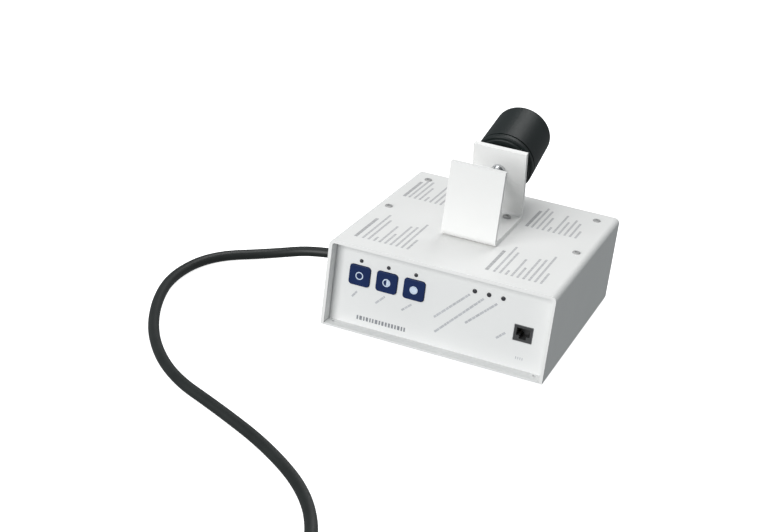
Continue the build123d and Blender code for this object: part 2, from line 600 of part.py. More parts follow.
def make_fan():
    y1 = REAR_INNER
    y0 = y1 - FAN_DEPTH
    half = FAN_SIZE / 2
    frame = block(FAN_X - half, FAN_X + half, y0, y1, FAN_Z - half, FAN_Z + half)
    frame = fillet(frame.edges().filter_by(Axis.Y), 4.0)
    frame -= rod((FAN_X, y0 - 1, FAN_Z), (0, 1, 0), FAN_BORE_R, FAN_DEPTH + 2)
    for x, z in fan_holes():
        frame -= rod((x, y0 - 1, z), (0, 1, 0), PANEL_HOLE_R, FAN_DEPTH + 2)
    hub_plate_t = 2.0
    frame += rod((FAN_X, y0, FAN_Z), (0, 1, 0), FAN_HUB_R + 1, hub_plate_t)
    for i in range(4):
        arm = Box(FAN_BORE_R + 1, hub_plate_t, 3.0, align=(Align.MIN, Align.MIN, Align.CENTER))
        frame += Pos(FAN_X, y0, FAN_Z) * Rot(0, 45 + 90 * i, 0) * arm
    shaft_r = 1.5
    frame += rod((FAN_X, y0 + hub_plate_t, FAN_Z), (0, 1, 0), shaft_r, 8.0)
    save("fan_frame", frame)

    hub_y0 = y0 + hub_plate_t + 0.8
    hub = rod((FAN_X, hub_y0, FAN_Z), (0, 1, 0), FAN_HUB_R, 10.5)
    hub -= rod((FAN_X, hub_y0 - 1, FAN_Z), (0, 1, 0), shaft_r + SCREW_CLEARANCE, 9.0)
    rotor = hub
    blade_len = FAN_BORE_R - 1.2 - (FAN_HUB_R - 1)
    for i in range(FAN_BLADES):
        blade = Box(blade_len, 9.0, 1.2, align=(Align.MIN, Align.CENTER, Align.CENTER))
        blade = Pos(FAN_HUB_R - 1, 0, 0) * Rot(38, 0, 0) * blade
        turn = Rot(0, i * 360.0 / FAN_BLADES, 0)
        rotor += Pos(FAN_X, hub_y0 + 5.2, FAN_Z) * turn * blade
    save("fan_rotor", rotor)

    guard_y = REAR_OUTER + 1.0
    wire_r = 0.8
    facing = Plane(origin=(FAN_X, guard_y, FAN_Z), z_dir=(0, 1, 0))
    guard = None
    for ring_r in (8.0, 14.0, 20.0, 26.0):
        ring = facing * Torus(ring_r, wire_r)
        guard = ring if guard is None else guard + ring
    for i in range(4):
        spoke = rod((0, 0, 0), (1, 0, 0), wire_r, 25.3)
        guard += Pos(FAN_X, guard_y, FAN_Z) * Rot(0, 45 + 90 * i, 0) * Pos(7.0, 0, 0) * spoke
    for x, z in fan_holes():
        eye = rod((x, guard_y - 1, z), (0, 1, 0), 3.4, 1.6)
        guard += eye - rod((x, guard_y - 2, z), (0, 1, 0), PANEL_HOLE_R, 4)
    save("fan_guard", guard)

    screws = []
    for x, z in fan_holes():
        screw = rod((x, guard_y + 0.6, z), (0, 1, 0), 2.9, 1.6)
        screws.append(screw + rod((x, y0 + 1, z), (0, 1, 0), PANEL_SCREW_R, guard_y + 0.6 - y0 - 1))
    return screws


def make_inlet():
    face = REAR_OUTER
    body = block(INLET_X - INLET_W / 2, INLET_X + INLET_W / 2, face - INLET_DEPTH, face,
                 INLET_Z - INLET_H / 2, INLET_Z + INLET_H / 2)
    lip = 2.5
    body += front_plate(INLET_X, INLET_Z, INLET_FLANGE_W, INLET_FLANGE_H, 4.0, face, face + lip)
    depth0 = face + lip - INLET_SOCKET_DEPTH
    half_w, half_h = INLET_SOCKET_W / 2, INLET_SOCKET_H / 2
    corner = 4.0
    outline = Plane(origin=(INLET_X, depth0, INLET_Z), x_dir=(1, 0, 0), z_dir=(0, 1, 0)) * Polygon(
        (-half_w, half_h), (half_w, half_h), (half_w, -half_h + corner),
        (half_w - corner, -half_h), (-half_w + corner, -half_h), (-half_w, -half_h + corner),
        align=None)
    body -= extrude(outline, amount=INLET_SOCKET_DEPTH + 1, dir=(0, 1, 0))
    screws = []
    for side in (-1, 1):
        x = INLET_X + side * INLET_SCREW_SPACING / 2
        body -= rod((x, face - 1, INLET_Z), (0, 1, 0), PANEL_HOLE_R, lip + 2)
        screw = rod((x, face + lip, INLET_Z), (0, 1, 0), 3.0, 1.6)
        screws.append(screw + rod((x, face - 8, INLET_Z), (0, 1, 0), PANEL_SCREW_R, 8 + lip))
    save("mains_inlet", body)
    pins = []
    for x, z in [(-7, -2), (7, -2), (0, 2)]:
        pins.append(block(INLET_X + x - 1, INLET_X + x + 1, depth0, depth0 + INLET_PIN_LEN,
                          INLET_Z - z - 2, INLET_Z - z + 2))
    save("inlet_pins", *pins)
    return screws


def make_power_switch():
    face = REAR_OUTER
    frame = block(SWITCH_X - 6.5, SWITCH_X + 6.5, face - 14, face, SWITCH_Z - 10, SWITCH_Z + 10)
    frame += front_plate(SWITCH_X, SWITCH_Z, 15, 23, 1.5, face, face + 1.5)
    frame -= block(SWITCH_X - ROCKER_W / 2 - 0.5, SWITCH_X + ROCKER_W / 2 + 0.5,
                   face - 11, face + 3, SWITCH_Z - ROCKER_H / 2 - 0.6, SWITCH_Z + ROCKER_H / 2 + 0.6)
    pin_r = 1.2
    pivot_y = face - 3.0
    frame += rod((SWITCH_X - ROCKER_W / 2 - 0.6, pivot_y, SWITCH_Z), (1, 0, 0), pin_r, ROCKER_W + 1.2)
    save("power_switch_frame", frame)
    outline = Polygon((-8.0, 0.4), (8.0, 0.4), (8.0, 4.4), (0, 3.4), (-8.0, 4.4), align=None)
    origin = (SWITCH_X - ROCKER_W / 2, pivot_y, SWITCH_Z)
    plane = Plane(origin=origin, x_dir=(0, 0, -1), z_dir=(1, 0, 0))
    rocker = extrude(plane * Rot(0, 0, ROCKER_TILT) * outline, amount=ROCKER_W, dir=(1, 0, 0))
    rocker += rod((SWITCH_X - ROCKER_W / 2, pivot_y, SWITCH_Z), (1, 0, 0), 2.6, ROCKER_W)
    rocker -= rod((SWITCH_X - ROCKER_W, pivot_y, SWITCH_Z), (1, 0, 0), pin_r + SCREW_CLEARANCE,
                  2 * ROCKER_W)
    save("power_switch_rocker", rocker)


# -------------------------------------------------------------- pole clamp
TILT = radians(LEG_TILT)
AXIS = Vector(0, cos(TILT), sin(TILT))        # along the clamp screw, towards the knob
BASE_MID = CASE_TOP + BRACKET_T / 2
AXIS_Z = CASE_TOP + SCREW_AXIS_H
PIVOT = Vector(0, REAR_FOOT_Y - (AXIS_Z - BASE_MID) * tan(TILT), AXIS_Z)


def on_axis(distance):
    """Point on the screw's axis; positive is behind the rear leg."""
    return PIVOT + AXIS * distance


def axis_rod(start, end, radius):
    return rod(on_axis(start), AXIS, radius, end - start)


def make_bracket():
    leg_top = CASE_TOP + LEG_H
    rise = leg_top - BASE_MID
    rear_top = REAR_FOOT_Y - rise * tan(TILT)
    line = FilletPolyline(
        (FRONT_LEG_Y, leg_top), (FRONT_LEG_Y, BASE_MID), (REAR_FOOT_Y, BASE_MID),
        (rear_top, leg_top), radius=BRACKET_BEND_R)
    profile = trace(line, line_width=BRACKET_T)
    plane = Plane(origin=(-BRACKET_W / 2, 0, 0), x_dir=(0, 1, 0), z_dir=(1, 0, 0))
    bracket = extrude(plane * profile, amount=BRACKET_W, dir=(1, 0, 0))
    bracket -= axis_rod(-10, 10, BUSH_R)
    for x, y in BRACKET_BOLTS:
        bracket -= rod((x, y, CASE_TOP - 1), (0, 0, 1), BOLT_HOLE_R, BRACKET_T + 2)
    save("clamp_bracket", bracket)

    plate = block(-27, 27, -38, 40, ROOF - BACKING_T, ROOF)
    bolts = []
    deck = CASE_TOP + BRACKET_T
    for x, y in BRACKET_BOLTS:
        plate -= rod((x, y, ROOF - BACKING_T - 1), (0, 0, 1), BOLT_R + 0.05, BACKING_T + 2)
        head = rod((x, y, deck), (0, 0, 1), BOLT_HEAD_R, BOLT_HEAD_H)
        head = fillet(head.edges().group_by(Axis.Z)[-1], 1.0)
        head -= hex_rod((x, y, deck + 1), (0, 0, 1), 3.0, BOLT_HEAD_H)
        bolts.append(head + rod((x, y, ROOF - 6), (0, 0, 1), BOLT_R, deck - ROOF + 6))
    save("bracket_backing_plate", plate)
    save("bracket_bolts", *bolts)

    half = BRACKET_T / 2
    bush = axis_rod(-half - 3, half, BUSH_R) + axis_rod(half, half + BUSH_FLANGE_T, BUSH_FLANGE_R)
    bush -= axis_rod(-half - 4, half + 3, SCREW_R + SCREW_CLEARANCE)
    save("clamp_bush", bush)


def along_axis(edge):
    """Where an edge lies along the screw's axis."""
    return (edge.center() - PIVOT).dot(AXIS)


def make_clamp_screw():
    knob_start = BRACKET_T / 2 + KNOB_GAP
    pad_back = -PAD_REACH + PAD_FACE_T
    ball = pad_back + BALL_DEPTH
    neck_end = ball + NECK_LEN
    ring_end = neck_end + RING_T
    screw = axis_rod(ring_end + 0.2, knob_start + SCREW_IN_KNOB, SCREW_R)
    screw += axis_rod(ball, ring_end + 0.2, NECK_R)
    screw += Pos(*on_axis(ball)) * Sphere(BALL_R)
    save("clamp_screw", screw)

    ring = axis_rod(neck_end, ring_end, RING_R)
    ring -= axis_rod(neck_end - 1, ring_end + 1, NECK_R + SCREW_CLEARANCE)
    save("thrust_ring", ring)

    collar_start = pad_back + PAD_T
    pad = axis_rod(pad_back, collar_start, PAD_R)
    pad += axis_rod(collar_start, collar_start + PAD_COLLAR_T, PAD_COLLAR_R)
    pad -= Pos(*on_axis(ball)) * Sphere(BALL_R + BALL_CLEARANCE)
    mouth_r0, mouth_r1 = 4.1, 6.4        # lets the pad tilt around the neck
    pad -= cone(on_axis(ball + 1.0), AXIS, mouth_r0, mouth_r1, 5.0)
    save("clamp_pad", pad)
    save("pad_facing", axis_rod(-PAD_REACH, pad_back, PAD_R - 0.5))

    far = knob_start + KNOB_LEN
    knob = cone(on_axis(knob_start), AXIS, KNOB_R_NEAR, KNOB_R_FAR, KNOB_LEN)
    knob = fillet(knob.edges().sort_by(along_axis)[-1], KNOB_FILLET)
    knob = chamfer(knob.edges().sort_by(along_axis)[0], 1.0)
    hub = axis_rod(knob_start - HUB_PROUD, knob_start, HUB_R1)
    hub = fillet(hub.edges().sort_by(along_axis)[0], HUB_FILLET)
    knob += hub - axis_rod(knob_start - HUB_PROUD - 1, knob_start + 1, HUB_R0)
    skirt_end = knob_start + SKIRT_LEN
    groove = axis_rod(skirt_end, skirt_end + SKIRT_GROOVE, KNOB_R_NEAR + 2)
    groove -= axis_rod(knob_start, skirt_end + 5, KNOB_R_NEAR - SKIRT_DEPTH)
    knob -= groove
    knob -= axis_rod(knob_start - 1, knob_start + SCREW_IN_KNOB, SCREW_R)
    knob -= axis_rod(far - CAP_DEPTH, far + 1, CAP_R)
    save("clamp_knob", knob)
    save("knob_cap", axis_rod(far - CAP_DEPTH, far + CAP_PROUD, CAP_R - 0.1))


# ------------------------------------------------------- light guide cable
def route_radii(points):
    """Arc radius at each inner point: as large as its two runs allow."""
    radii = []
    for before, here, after in zip(points, points[1:], points[2:]):
        run_in = Vector(*here) - Vector(*before)
        run_out = Vector(*after) - Vector(*here)
        turn = radians(run_in.get_angle(run_out))
        radii.append(ARC_SHARE * min(run_in.length, run_out.length) / tan(turn / 2))
    return radii


def tube_along(points, radii, radius):
    path = FilletPolyline(*points, radius=radii)
    start = Vector(*points[0])
    plane = Plane(origin=start, z_dir=Vector(*points[1]) - start)
    return sweep(plane * Circle(radius), path=path), path.length


def make_cable():
    radii = route_radii(ROUTE)
    print("cable arc radii:", [round(r) for r in radii])
    cable, length = tube_along(ROUTE, radii, GUIDE_R)
    expected = pi * GUIDE_R ** 2 * length
    print(f"cable length {length:.1f}, volume {cable.volume:.0f}, expected {expected:.0f}")
    case_side = block(PORT_OUT_X, PORT_OUT_X + 10, PORT_Y - 20, PORT_Y + 20, PORT_Z - 20, PORT_Z + 20)
    save("light_guide_cable", cable - case_side)

    start = Vector(*ROUTE[0])
    first = (Vector(*ROUTE[1]) - start).normalized()
    relief = cone(start, first, RELIEF_R0, RELIEF_R1, RELIEF_LEN)
    relief -= rod(start - first, first, GUIDE_R, RELIEF_LEN + 2)
    save("strain_relief", relief - case_side)

    end = Vector(*ROUTE[-1])
    heading = (end - Vector(*ROUTE[-2])).normalized()
    tangent_point = end + heading * COIL_LEAD_IN
    side = Vector(-heading.Y, heading.X, 0)
    outer_turn = COIL_R + COIL_SPREAD
    middle = Vector(tangent_point.X, tangent_point.Y, 0) + side * outer_turn
    print(f"coil centre {middle.X:.1f}, {middle.Y:.1f}")
    wide = COIL_R + COIL_SPREAD + GUIDE_R
    narrow = COIL_R - COIL_SPREAD - GUIDE_R
    centre = Pos(middle.X, middle.Y, 0)
    ring = centre * Cylinder(wide, COIL_H, align=CENTRE_TO_TOP)
    ring -= centre * Pos(0, 0, -1) * Cylinder(narrow, COIL_H + 2, align=CENTRE_TO_TOP)
    ring = fillet(ring.edges().filter_by(GeomType.CIRCLE), 4.0)
    ring += rod(end, heading, GUIDE_R, COIL_LEAD_IN)
    bite = 0.1
    last_turn = Torus(COIL_R, GUIDE_R, major_angle=LAST_TURN_END - LAST_TURN_START, align=None)
    lift = Pos(0, 0, COIL_H + GUIDE_R - bite)
    ring += centre * lift * Rot(0, 0, LAST_TURN_START) * last_turn
    save("light_guide_coil", ring)

    sleeve_z = COIL_H + SLEEVE_R
    sleeve_start = Vector(middle.X, middle.Y - COIL_R, sleeve_z)
    sleeve = rod(sleeve_start, (1, 0, 0), SLEEVE_R, SLEEVE_LEN)
    sleeve = fillet(sleeve.edges().filter_by(GeomType.CIRCLE), 0.8)
    save("guide_end_sleeve", sleeve)
    ferrule_start = sleeve_start + Vector(SLEEVE_LEN, 0, 0)
    save("guide_end_ferrule", rod(ferrule_start, (1, 0, 0), FERRULE_R, FERRULE_LEN))
    tip = ferrule_start + Vector(FERRULE_LEN, 0, 0)
    print(f"ferrule tip {tip.X:.1f}, {tip.Y:.1f}, {tip.Z:.1f}")


def main():
    os.makedirs("parts", exist_ok=True)
    make_cover()
    make_base()
    make_front_panel()
    make_rear_panel()
    make_buttons()
    front_spacers, front_screws = make_control_board()
    make_jack()
    make_light_port()
    make_light_engine()
    base_spacers, base_screws = make_power_board()
    make_transformer()
    save("board_spacers", *front_spacers, *base_spacers)
    save("board_screws", *front_screws, *base_screws)
    rear_screws = make_fan()
    rear_screws += make_inlet()
    save("rear_panel_screws", *rear_screws)
    make_power_switch()
    make_bracket()
    make_clamp_screw()
    make_cable()


main()
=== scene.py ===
import json
from math import atan2, cos, pi, radians, sin
from random import Random

import bmesh
import bpy
from mathutils import Matrix, Vector

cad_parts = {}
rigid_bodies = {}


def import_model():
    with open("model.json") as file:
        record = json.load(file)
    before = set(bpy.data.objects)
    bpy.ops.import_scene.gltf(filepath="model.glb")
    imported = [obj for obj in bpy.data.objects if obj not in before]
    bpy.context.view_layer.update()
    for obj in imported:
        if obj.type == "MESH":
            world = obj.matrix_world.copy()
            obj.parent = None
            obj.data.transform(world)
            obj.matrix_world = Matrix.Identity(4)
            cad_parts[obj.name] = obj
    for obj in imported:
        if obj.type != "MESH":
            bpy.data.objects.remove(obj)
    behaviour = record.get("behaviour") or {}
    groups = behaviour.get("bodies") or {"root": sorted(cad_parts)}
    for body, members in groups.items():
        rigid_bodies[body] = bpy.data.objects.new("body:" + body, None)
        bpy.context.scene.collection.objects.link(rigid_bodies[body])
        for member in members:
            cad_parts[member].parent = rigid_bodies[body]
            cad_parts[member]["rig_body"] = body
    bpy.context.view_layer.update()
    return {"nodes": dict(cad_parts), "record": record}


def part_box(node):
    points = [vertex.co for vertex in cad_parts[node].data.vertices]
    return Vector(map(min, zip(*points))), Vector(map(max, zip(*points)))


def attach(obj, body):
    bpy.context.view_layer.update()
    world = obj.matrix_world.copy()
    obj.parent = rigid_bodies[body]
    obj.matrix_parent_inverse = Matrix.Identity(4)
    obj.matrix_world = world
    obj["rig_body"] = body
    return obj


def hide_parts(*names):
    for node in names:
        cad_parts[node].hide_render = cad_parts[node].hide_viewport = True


# A light source with a pole clamp, on a pale floor. Metres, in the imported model's frame:
# +Z up, -Y the front, +X to the right seen from the front, the floor at z = 0.

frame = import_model()
NODES = frame["nodes"]
MM = 0.001
ROOT = "light_source"

# ---------------------------------------------------------------- camera
CAMERA_PLACE = (0.3465, -1.2737, 0.5805)
CAMERA_AZIMUTH = radians(18.96)
CAMERA_ELEVATION = radians(22.52)
CAMERA_ROLL = radians(7.21)
LENS_MM = 74.4
SENSOR_MM = 36.0


def link(obj):
    bpy.context.scene.collection.objects.link(obj)
    return obj


def add_camera():
    data = bpy.data.cameras.new("camera")
    data.lens = LENS_MM
    data.sensor_width = SENSOR_MM
    data.clip_start = 0.01
    camera = link(bpy.data.objects.new("camera", data))
    turn = Matrix.Rotation(CAMERA_AZIMUTH, 4, "Z")
    turn = turn @ Matrix.Rotation(pi / 2 - CAMERA_ELEVATION, 4, "X")
    turn = turn @ Matrix.Rotation(CAMERA_ROLL, 4, "Z")
    camera.matrix_world = Matrix.Translation(CAMERA_PLACE) @ turn
    bpy.context.scene.camera = camera


add_camera()

# ------------------------------------------------------------ light guide
GUIDE_R = 4.75
FLOOR_Z = GUIDE_R
ROUTE = [
    (-110.0, 17.0, 17.5),
    (-158.0, 16.5, 15.8),
    (-204.0, -1.0, 5.4),
    (-246.0, -38.0, FLOOR_Z),
    (-254.0, -100.0, FLOOR_Z),
    (-236.0, -163.0, FLOOR_Z),
    (-203.0, -226.0, FLOOR_Z),
    (-158.0, -275.0, FLOOR_Z),
    (-103.0, -302.0, FLOOR_Z),
    (-46.0, -334.0, FLOOR_Z),
    (4.0, -376.0, FLOOR_Z),
    (34.0, -428.0, FLOOR_Z),
    (44.0, -482.0, FLOOR_Z),
]
COIL_R = 55.0
COIL_SPREAD = 4.95
COIL_LEAD_IN = 36.0
COIL_LAYER = 9.65        # from one layer of turns to the next
COIL_POINTS = 48         # in a little over three turns
COIL_TURNS_BEFORE_LAST = 2
LAST_POINT = 270.0       # degrees from +X, where the end fitting starts
FITTING_LIFT = 1.15
# how far round the coil each change of layer starts and ends, in degrees
MOVE_INWARD = (294, 354)
CLIMB = (594, 639)
MOVE_OUTWARD = (624, 659)
CLIMB_AGAIN = (939, 984)
MEET_FITTING = (1100, 1150)


def ramp(value, low, high):
    share = min(max((value - low) / (high - low), 0.0), 1.0)
    return share * share * (3 - 2 * share)


def coil_place(travelled):
    """Radius and height of the guide's middle after that many degrees round the coil."""
    radius = COIL_R + COIL_SPREAD
    radius -= 2 * COIL_SPREAD * ramp(travelled, *MOVE_INWARD)
    radius += COIL_SPREAD * ramp(travelled, *MOVE_OUTWARD)
    height = FLOOR_Z + COIL_LAYER * ramp(travelled, *CLIMB)
    height += COIL_LAYER * ramp(travelled, *CLIMB_AGAIN)
    return radius, height + FITTING_LIFT * ramp(travelled, *MEET_FITTING)


def coil_frame():
    """Middle of the coil on the floor, and the angle at which the guide reaches it."""
    end = Vector(ROUTE[-1])
    heading = (end - Vector(ROUTE[-2])).normalized()
    left = Vector((-heading.y, heading.x, 0))
    middle = end + heading * COIL_LEAD_IN + left * (COIL_R + COIL_SPREAD)
    middle.z = 0
    return middle, atan2(-left.y, -left.x)


def coil_points():
    middle, first = coil_frame()
    last = radians(LAST_POINT) + 2 * pi * COIL_TURNS_BEFORE_LAST
    half_step = (last - first) / COIL_POINTS / 2
    points = []
    for i in range(COIL_POINTS):
        travelled = (2 * i + 1) * half_step
        radius, height = coil_place(travelled * 180 / pi)
        reach = radius / cos(half_step)
        around = first + travelled
        points.append(middle + Vector((reach * cos(around), reach * sin(around), height)))
    radius, height = coil_place((last - first) * 180 / pi)
    points.append(middle + Vector((radius * cos(last), radius * sin(last), height)))
    return points


def add_guide():
    data = bpy.data.curves.new("light_guide", "CURVE")
    data.dimensions = "3D"
    points = [Vector(p) for p in ROUTE] + coil_points()
    spline = data.splines.new("NURBS")
    spline.points.add(len(points) - 1)
    for target, place in zip(spline.points, points):
        target.co = (*(place * MM), 1.0)
    spline.order_u = 3
    spline.use_endpoint_u = True
    data.resolution_u = 10
    data.bevel_depth = GUIDE_R * MM
    data.bevel_resolution = 6
    data.use_fill_caps = True
    return link(bpy.data.objects.new("light_guide", data))


guide = add_guide()


# ------------------------------------------------------------- mesh helpers
def mesh_object(name, bm, smooth_angle=None):
    """Turns a bmesh in millimetres into an object in metres."""
    bmesh.ops.recalc_face_normals(bm, faces=bm.faces)
    bmesh.ops.scale(bm, vec=(MM, MM, MM), verts=bm.verts)
    mesh = bpy.data.meshes.new(name)
    bm.to_mesh(mesh)
    bm.free()
    if smooth_angle is not None:
        mesh.shade_smooth()
        mesh.set_sharp_from_angle(angle=radians(smooth_angle))
    return link(bpy.data.objects.new(name, mesh))


def lathe(bm, profile, start, axis, segments=64):
    """Turns a closed profile of (distance along the axis, radius) about the axis."""
    turn = Vector(axis).to_track_quat("Z", "Y").to_matrix().to_4x4()
    place = Matrix.Translation(start) @ turn
    rings = []
    for along, radius in profile:
        ring = []
        for i in range(segments):
            angle = 2 * pi * i / segments
            ring.append(bm.verts.new(place @ Vector((radius * cos(angle), radius * sin(angle), along))))
        rings.append(ring)
    for ring, following in zip(rings, rings[1:] + rings[:1]):
        for i in range(segments):
            j = (i + 1) % segments
            bm.faces.new((ring[i], ring[j], following[j], following[i]))


# ------------------------------------------------- strain relief and coil tie
RELIEF_LEN = 25.0
RELIEF_R0, RELIEF_R1 = 7.5, 5.6
RELIEF_RIBS = 6
RELIEF_GROOVE = 0.8
RELIEF_EDGE = 0.4        # bevel at the wide end
RELIEF_TIP_EDGE = 0.5    # bevel at the narrow end


def add_relief():
    """Tapered boot with ring grooves."""
    start = Vector(ROUTE[0])
    axis = Vector(ROUTE[1]) - start
    pitch = RELIEF_LEN / (RELIEF_RIBS + 1)
    groove = RELIEF_GROOVE
    profile = [(0.0, GUIDE_R), (0.0, RELIEF_R0 - RELIEF_EDGE), (RELIEF_EDGE, RELIEF_R0)]
    for i in range(1, RELIEF_RIBS + 1):
        along = i * pitch
        radius = RELIEF_R0 + (RELIEF_R1 - RELIEF_R0) * along / RELIEF_LEN
        for shift, depth in ((-0.8, 0), (-0.5, groove), (0.5, groove), (0.8, 0)):
            profile.append((along + shift, radius - depth))
    profile.append((RELIEF_LEN - RELIEF_TIP_EDGE, RELIEF_R1))
    profile.append((RELIEF_LEN, RELIEF_R1 - RELIEF_TIP_EDGE))
    profile.append((RELIEF_LEN, GUIDE_R))
    bm = bmesh.new()
    lathe(bm, profile, start, axis)
    return mesh_object("strain_relief_boot", bm, smooth_angle=40)


TIE_ANGLE = 20.0
TIE_WIDTH = 16.0
TIE_T = 0.9
TIE_GAP = 0.2


def hull_of_turns(grow, steps=10):
    """Outline round the three turns' sections, as (radius, height) points, grown outwards."""
    sections = [
        (COIL_R + COIL_SPREAD, FLOOR_Z, -90, 30),
        (COIL_R, FLOOR_Z + COIL_LAYER, 30, 150),
        (COIL_R - COIL_SPREAD, FLOOR_Z, 150, 270),
    ]
    outline = []
    for radius, height, start, end in sections:
        for i in range(steps + 1):
            angle = radians(start + (end - start) * i / steps)
            reach = GUIDE_R + grow
            outline.append((radius + reach * cos(angle), max(height + reach * sin(angle), grow * 0.1)))
    return outline


def add_tie():
    """Woven hook-and-loop strap that holds the coil."""
    middle, _ = coil_frame()
    out = Vector((cos(radians(TIE_ANGLE)), sin(radians(TIE_ANGLE)), 0))
    along = Vector((-out.y, out.x, 0))
    bm = bmesh.new()
    loops = []
    for grow, side in ((TIE_GAP, -1), (TIE_GAP, 1), (TIE_GAP + TIE_T, 1), (TIE_GAP + TIE_T, -1)):
        loop = []
        for radius, height in hull_of_turns(grow):
            place = middle + out * radius + along * side * TIE_WIDTH / 2 + Vector((0, 0, height))
            loop.append(bm.verts.new(place))
        loops.append(loop)
    for loop, following in zip(loops, loops[1:] + loops[:1]):
        count = len(loop)
        for i in range(count):
            j = (i + 1) % count
            bm.faces.new((loop[i], loop[j], following[j], following[i]))
    return mesh_object("coil_tie", bm, smooth_angle=35)


boot = add_relief()
tie = add_tie()

# ---------------------------------------------------- printed marks and icons
INK_T = 0.05
LABEL_HEIGHT = 2.0
BUTTON_LABEL_HEIGHT = 1.8
TITLE_HEIGHT = 3.8
ROOF_HEADING_HEIGHT = 3.0
ROOF_ROW_HEIGHT = 2.1
PANEL_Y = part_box("front_panel")[0].y / MM
ROOF_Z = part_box("top_cover")[1].z / MM
BUTTONS = ["button_off", "button_half", "button_full"]


def on_panel(u, v, lift=0.0):
    return u, PANEL_Y - lift, v


def on_roof(u, v, lift=0.0):
    return u, v, ROOF_Z + lift


def solid_from_faces(bm, faces, shift):
    """Gives flat faces a thickness."""
    made = bmesh.ops.extrude_face_region(bm, geom=faces)["geom"]
    moved = [g for g in made if isinstance(g, bmesh.types.BMVert)]
    bmesh.ops.translate(bm, vec=shift, verts=moved)


def bar(bm, surface_point, u, v, length, height, angle=0.0):
    """Thin bar on the panel or the roof, centred on (u, v), turned by angle."""
    corners = []
    for side_u, side_v in ((-1, -1), (1, -1), (1, 1), (-1, 1)):
        du, dv = side_u * length / 2, side_v * height / 2
        pu = u + du * cos(angle) - dv * sin(angle)
        pv = v + du * sin(angle) + dv * cos(angle)
        corners.append(bm.verts.new(surface_point(pu, pv)))
    thickness = Vector(surface_point(0, 0, INK_T)) - Vector(surface_point(0, 0))
    solid_from_faces(bm, [bm.faces.new(corners)], thickness)


def word_row(bm, surface_point, start, end, height, seed, shortest=2.2, longest=5.5, gap=0.45):
    """Row of plain blocks of uneven length, where the object has a printed line."""
    draw = Random(seed)
    along = Vector(end) - Vector(start)
    angle = atan2(along.y, along.x)
    done = 0.0
    while done < along.length - shortest / 2:
        length = min(draw.uniform(shortest, longest), along.length - done)
        middle = Vector(start) + along.normalized() * (done + length / 2)
        bar(bm, surface_point, middle.x, middle.y, length, height, angle)
        done += length + gap


def add_long_labels():
    """Three slanted lines that lead to the status lights, and one to the data socket."""
    bm = bmesh.new()
    for seed, start, end in (
        (1, (-3.3, 31.9), (25.1, 60.9)),
        (2, (-1.0, 18.5), (37.6, 60.1)),
        (3, (24.7, 34.1), (50.7, 59.6)),
        (4, (53.4, 28.0), (61.3, 35.6)),
    ):
        word_row(bm, on_panel, start, end, LABEL_HEIGHT, seed)
    return mesh_object("panel_label_lines", bm)


def add_button_labels():
    bm = bmesh.new()
    for seed, start, end in (
        (5, (-79.5, 30.6), (-75.4, 36.4)),
        (6, (-57.3, 30.0), (-49.6, 38.2)),
        (7, (-33.0, 30.1), (-24.1, 38.2)),
    ):
        word_row(bm, on_panel, start, end, BUTTON_LABEL_HEIGHT, seed, shortest=2.5, longest=5.0)
    return mesh_object("panel_button_labels", bm)


def add_title():
    bm = bmesh.new()
    start, end = (-73.0, 12.7), (-27.5, 12.7)
    word_row(bm, on_panel, start, end, TITLE_HEIGHT, seed=8, shortest=1.2, longest=2.4, gap=1.2)
    return mesh_object("panel_title_blocks", bm)


TICK_COUNT = 4
TICK_X, TICK_Z = 72.9, 15.2
TICK_PITCH = 1.9
TICK_WIDTH, TICK_HEIGHT = 0.8, 2.4


def add_ticks():
    """Small group of upright ticks under the data socket."""
    bm = bmesh.new()
    for i in range(TICK_COUNT):
        bar(bm, on_panel, TICK_X + i * TICK_PITCH, TICK_Z, TICK_WIDTH, TICK_HEIGHT)
    return mesh_object("panel_socket_ticks", bm)


# Each block of rows on the roof: X and Y where its heading starts, X of the next row, row lengths.
FRONT_ROWS = (52, 67, 55, 12, 45, 27, 53, 55, 67, 26)
BACK_ROWS = (48, 59, 54, 38, 13, 53, 36, 46, 39, 20)
ROOF_BLOCKS = [
    (33.8, -90.0, 40.5, FRONT_ROWS),
    (-85.8, -90.0, -79.1, FRONT_ROWS),
    (32.4, 32.0, 37.3, BACK_ROWS),
    (-87.2, 32.0, -82.3, BACK_ROWS),
]
ROOF_ROW_PITCH = 5.15


def add_roof_headings():
    bm = bmesh.new()
    for seed, (x, y, _, lengths) in enumerate(ROOF_BLOCKS):
        word_row(bm, on_roof, (x, y), (x, y + lengths[0]), ROOF_HEADING_HEIGHT, 20 + seed, longest=6.5)
    return mesh_object("roof_headings", bm)


def add_roof_rows():
    bm = bmesh.new()
    for block, (_, y, first_x, lengths) in enumerate(ROOF_BLOCKS):
        for i, length in enumerate(lengths[1:]):
            x = first_x + i * ROOF_ROW_PITCH
            word_row(bm, on_roof, (x, y), (x, y + length), ROOF_ROW_HEIGHT, 100 * block + i)
    return mesh_object("roof_rows", bm)


ICON_R = 3.6
ICON_LINE = 0.9
HALF_FILL_R = ICON_R - ICON_LINE - 0.2
FULL_FILL_R = ICON_R - ICON_LINE - 0.1
ICON_SEGMENTS = 48


def ring_faces(bm, x, y, z, inner, outer):
    inside, outside = [], []
    for i in range(ICON_SEGMENTS):
        angle = 2 * pi * i / ICON_SEGMENTS
        inside.append(bm.verts.new((x + inner * cos(angle), y, z + inner * sin(angle))))
        outside.append(bm.verts.new((x + outer * cos(angle), y, z + outer * sin(angle))))
    faces = []
    for i in range(ICON_SEGMENTS):
        j = (i + 1) % ICON_SEGMENTS
        faces.append(bm.faces.new((inside[i], inside[j], outside[j], outside[i])))
    return faces


def sector_face(bm, x, y, z, radius, start, end):
    points = []
    for i in range(ICON_SEGMENTS + 1):
        angle = start + (end - start) * i / ICON_SEGMENTS
        points.append(bm.verts.new((x + radius * cos(angle), y, z + radius * sin(angle))))
    return bm.faces.new(points)


